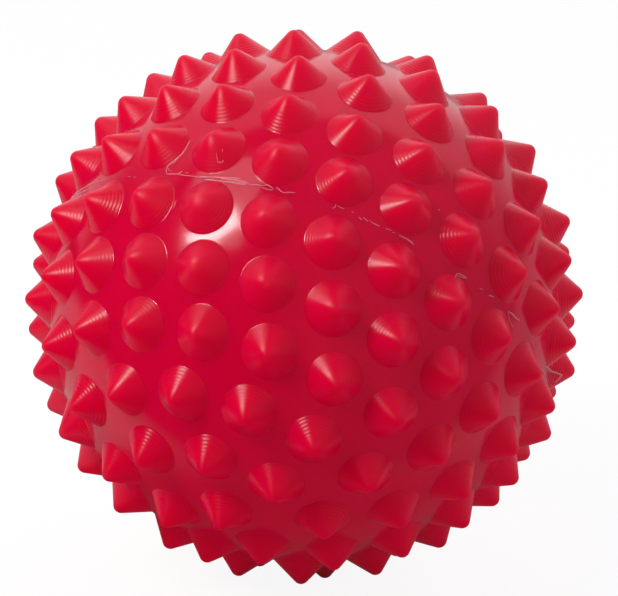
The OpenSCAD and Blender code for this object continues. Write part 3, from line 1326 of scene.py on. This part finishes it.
@dataclass(frozen=True)
class SoftBox:
    """One soft box: its place in the picture's directions, its sides in metres, its radiance and its turn."""

    name: str
    right: float
    up: float
    viewer: float
    wide: float
    high: float
    radiance: float
    distance: float = 0.7
    turn: float = 0.0

    def hang(self, view: PhotoView) -> None:
        """Hangs the box so that it faces the ball."""
        way = view.direction(self.right, self.up, self.viewer)
        lamp = bpy.data.lights.new(self.name, "AREA")
        lamp.shape = "RECTANGLE"
        lamp.size = self.wide
        lamp.size_y = self.high
        lamp.energy = self.radiance * math.pi * self.wide * self.high
        holder = bpy.data.objects.new(self.name, lamp)
        across = view.direction(math.cos(math.radians(self.turn)), math.sin(math.radians(self.turn)), 0.0)
        upright = np.cross(way, across)
        upright /= np.linalg.norm(upright)
        matrix = Matrix(np.column_stack([np.cross(upright, way), upright, way]).tolist()).to_4x4()
        matrix.translation = Vector(way * self.distance)
        holder.matrix_world = matrix
        bpy.context.scene.collection.objects.link(holder)


@dataclass(frozen=True)
class Studio:
    """A white room with a soft box at the upper left, near the viewer, and a white floor that keeps a shadow.

    Room and floor are white where the camera sees them. As light, the room is a plain fill, brighter behind the
    ball and at its right. What the glossy skin mirrors is dim on the viewer's side, as a studio is, with a white
    screen overhead, a white wall far behind the ball, and the open floor past the ball. The floor glows for
    mirror-like rays, and the ball's shadow is painted into that glow as a dark patch around the ball. The room's
    ramps read directions, and the floor's read metres.
    """

    view: PhotoView
    floor_z: float
    floor_r: float = 5.0
    floor_white: float = 0.91
    floor_lit: float = 0.12
    floor_bounce: float = 0.75
    white: str = "#FFFFFF"
    fill: Ramp = Ramp(-0.5, 0.8, 0.22, 1.12)
    fill_rightward: float = 0.7
    overhead: tuple[float, float, float] = (0.12, 0.99, 0.0)
    screen: Ramp = Ramp(0.3, 0.9, 0.0, 0.45)
    screen_edge: Ramp = Ramp(0.0, 0.1, 0.0, 1.0)
    screen_rightward: float = -0.15
    wall: Ramp = Ramp(-0.3, 0.5, 0.0, 0.8)
    wall_edge: Ramp = Ramp(0.4, 0.8, 0.0, 1.0)
    wall_right: Ramp = Ramp(0.25, 0.5, 1.0, 0.45)
    dim_room: Ramp = Ramp(-0.6, 0.4, 0.015, 0.12)
    dim_floor: Ramp = Ramp(-0.1, 0.1, 0.015, 0.12)
    open_floor: Ramp = Ramp(-0.07, 0.07, 0.42, 0.2)
    floor_left: Ramp = Ramp(-0.4, -0.24, 0.0, 1.0)
    painted_shade_edge: Ramp = Ramp(0.06, 0.086, 0.0, 1.0)
    front_edge: Ramp = Ramp(-0.066, -0.046, 0.0, 1.0)
    front_away: float = -0.4
    boxes: tuple[SoftBox, ...] = (
        SoftBox("key_box", -0.545, 0.68, 0.49, 0.36, 0.52, 1.3, 0.7, -28.0),
        SoftBox("key_lamp", -0.61, 0.512, 0.605, 0.26, 0.13, 15.5, 0.68, 24.0),
    )

    def _rays(self, tree: bpy.types.NodeTree) -> tuple[bpy.types.NodeSocket, bpy.types.NodeSocket]:
        """Adds the tests for rays that come from the camera or through glass, and for mirror-like rays."""
        path = add_node(tree, "ShaderNodeLightPath").node.outputs
        seen = {0: path["Is Camera Ray"], 1: path["Is Transmission Ray"]}
        return add_node(tree, "ShaderNodeMath", {"operation": "MAXIMUM"} | seen), path["Is Glossy Ray"]

    def _readings(self, tree: bpy.types.NodeTree, place: bpy.types.NodeSocket) -> list[bpy.types.NodeSocket]:
        """Adds how far a place or direction lies behind the ball, to its right and overhead."""
        axes = self.view.axes()
        ways = (-axes[:, 2], axes[:, 0], self.view.direction(*self.overhead))
        return [
            add_node(
                tree, "ShaderNodeVectorMath", {"operation": "DOT_PRODUCT", 0: place, 1: way.tolist()}, "Value"
            )
            for way in ways
        ]

    def _room(self) -> None:
        """Makes the world."""
        world = bpy.data.worlds.new("white_room")
        world.use_nodes = True
        tree = world.node_tree
        tree.nodes.clear()
        straight, mirrored = self._rays(tree)
        way = add_node(tree, "ShaderNodeTexCoord", output="Generated")
        behind, rightward, aloft = self._readings(tree, way)
        far, edge = (
            add_node(tree, "ShaderNodeMath", {"operation": "MULTIPLY_ADD", 0: rightward, 1: share, 2: behind})
            for share in (self.fill_rightward, self.screen_rightward)
        )
        screen = add_product(tree, (self.screen, aloft), (self.screen_edge, edge))
        wall = add_product(tree, (self.wall, aloft), (self.wall_edge, behind), (self.wall_right, rightward))
        mirror = add_node(tree, "ShaderNodeMapRange", self.dim_room.settings(rightward), "Result")
        for light in (screen, wall):
            mirror = add_node(tree, "ShaderNodeMath", {"operation": "ADD", 0: mirror, 1: light})
        fill = add_node(tree, "ShaderNodeMapRange", self.fill.settings(far), "Result")
        unseen = add_node(tree, "ShaderNodeMix", {"data_type": "FLOAT", 0: mirrored, 2: fill, 3: mirror})
        strength = add_node(tree, "ShaderNodeMix", {"data_type": "FLOAT", 0: straight, 2: unseen, 3: 1.0})
        values = {"Color": linear(self.white), "Strength": strength}
        add_node(tree, "ShaderNodeOutputWorld", {"Surface": add_node(tree, "ShaderNodeBackground", values)})
        bpy.context.scene.world = world

    def _floor_finish(self) -> bpy.types.Material:
        """Makes the floor's white paper."""
        material, tree = new_material("studio_floor")
        straight, mirrored = self._rays(tree)
        place = add_node(tree, "ShaderNodeNewGeometry", output="Position")
        behind, rightward, _ = self._readings(tree, place)
        away = add_node(tree, "ShaderNodeVectorMath", {"operation": "LENGTH", 0: place}, "Value")
        front = add_node(
            tree, "ShaderNodeMath", {"operation": "MULTIPLY_ADD", 0: away, 1: self.front_away, 2: behind}
        )
        # Painted shadow: the floor's glow for mirror-like rays is dark near the ball, where its shade falls. It
        # also fades in front of the paper's edge and to the far left.
        paper = add_product(
            tree,
            (self.open_floor, rightward),
            (self.painted_shade_edge, away),
            (self.front_edge, front),
            (self.floor_left, rightward),
        )
        dim = add_node(tree, "ShaderNodeMapRange", self.dim_floor.settings(rightward), "Result")
        mirror = add_node(tree, "ShaderNodeMath", {"operation": "ADD", 0: paper, 1: dim})
        mirror_glow, glow = (
            add_node(tree, "ShaderNodeEmission", {"Color": linear(self.white), "Strength": strength})
            for strength in (mirror, self.floor_white)
        )
        lit, dull = (
            add_node(tree, "ShaderNodeBsdfDiffuse", {"Color": (white, white, white, 1.0)})
            for white in (self.floor_lit, self.floor_bounce)
        )
        shown = add_node(tree, "ShaderNodeAddShader", {0: glow, 1: lit})
        unseen = add_node(tree, "ShaderNodeMixShader", {0: mirrored, 1: dull, 2: mirror_glow})
        surface = add_node(tree, "ShaderNodeMixShader", {0: straight, 1: unseen, 2: shown})
        add_node(tree, "ShaderNodeOutputMaterial", {"Surface": surface})
        return material

    def _floor(self) -> None:
        """Lays the floor under the ball."""
        mesh = bpy.data.meshes.new("floor")
        r, z = self.floor_r, self.floor_z
        mesh.from_pydata([(-r, -r, z), (r, -r, z), (r, r, z), (-r, r, z)], [], [(0, 1, 2, 3)])
        floor = bpy.data.objects.new("floor", mesh)
        floor.data.materials.append(self._floor_finish())
        bpy.context.scene.collection.objects.link(floor)

    def build(self) -> None:
        """Sets up the room, the floor and the lamps."""
        self._room()
        self._floor()
        for box in self.boxes:
            box.hang(self.view)
        bpy.context.scene.view_settings.view_transform = "Standard"


def dress(
    piece: bpy.types.Object, finishes: tuple[bpy.types.Material, ...], slot: Slot, body: str, *nodes: str
) -> None:
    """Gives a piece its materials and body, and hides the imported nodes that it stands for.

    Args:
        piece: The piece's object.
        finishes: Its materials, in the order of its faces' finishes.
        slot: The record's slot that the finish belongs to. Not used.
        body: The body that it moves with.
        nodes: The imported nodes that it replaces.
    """
    chosen = [0] * len(piece.data.polygons)
    piece.data.polygons.foreach_get("material_index", chosen)
    piece.data.materials.clear()
    for finish in finishes:
        piece.data.materials.append(finish)
    piece.data.polygons.foreach_set("material_index", chosen)
    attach(piece, body)
    if nodes:
        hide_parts(*nodes)
    mesh = piece.data
    log.info("%s: %d points, %d faces, on %s", piece.name, len(mesh.vertices), len(mesh.polygons), body)


def main() -> None:
    """Builds every piece in order, then the camera and the studio."""
    logging.basicConfig(level=logging.INFO, format="%(name)s: %(message)s")
    sizes = BallSizes()
    rings = SpikeRings(sizes)
    lie = LyingBall(rings, tuple(frame["joints"][0]["axis"])).matrix()
    valve = ValveSizes()
    axis = tuple(float(v) for v in lie[:, 2])
    skin_vinyl = SoftVinyl(axis).make()
    spike_vinyl = SoftVinyl(
        axis, name="spike_vinyl", specular_level=0.4, roughness=0.295, roughness_spread=0.01, stretch=0.75
    ).make()
    # The flash's pale pink, lighter than the shells' red, is a painted highlight: it stands in for the glints on
    # the crumpled film and the light through it.
    flash_vinyl_painted_glint = SoftVinyl(
        axis, name="flash_vinyl_painted_glint", colour="#FF8CA2", deep_colour="#FF6A86", specular_level=1.0, roughness=0.3,
        scatter=0.0, grain_size=0.3, grain_depth=0.03, sheen=0.5,
    ).make()
    bead_vinyl = SoftVinyl(
        axis, name="bead_vinyl", colour="#F60443", deep_colour="#EE043F", scatter=0.0
    ).make()
    profile = SpikeProfile(sizes)
    shells = ((Half.UPPER, "upper_shell", "upper_half"), (Half.LOWER, "lower_shell", "lower_half"))
    for half, name, node in shells:
        shell = HalfShell(half, rings, profile, valve).build(name, lie)
        dress(shell, (skin_vinyl, spike_vinyl), Slot.SKIN, "ball", node)
    weld = WeldFlash(SpikySurface(rings, profile))
    dress(weld.build("weld_bead", BEAD, lie, BEAD_SEED), (bead_vinyl,), Slot.SKIN, "ball")
    dress(weld.build("weld_flash", FINS, lie, FINS_SEED), (flash_vinyl_painted_glint,), Slot.SKIN, "ball")
    air = AirValve(sizes, valve)
    dress(air.sleeve("valve_ring", lie), (ValveRubber().make(),), Slot.SLEEVE, "ball", "valve_sleeve")
    dress(air.plug("air_plug", lie), (PlugVinyl().make(),), Slot.PLUG, "plug", "valve_plug")
    view = PhotoView()
    view.add_camera(sizes.reach * MM)
    Studio(view, floor_z=CAD_BOX[0][2]).build()


if __name__ == "__main__":
    main()
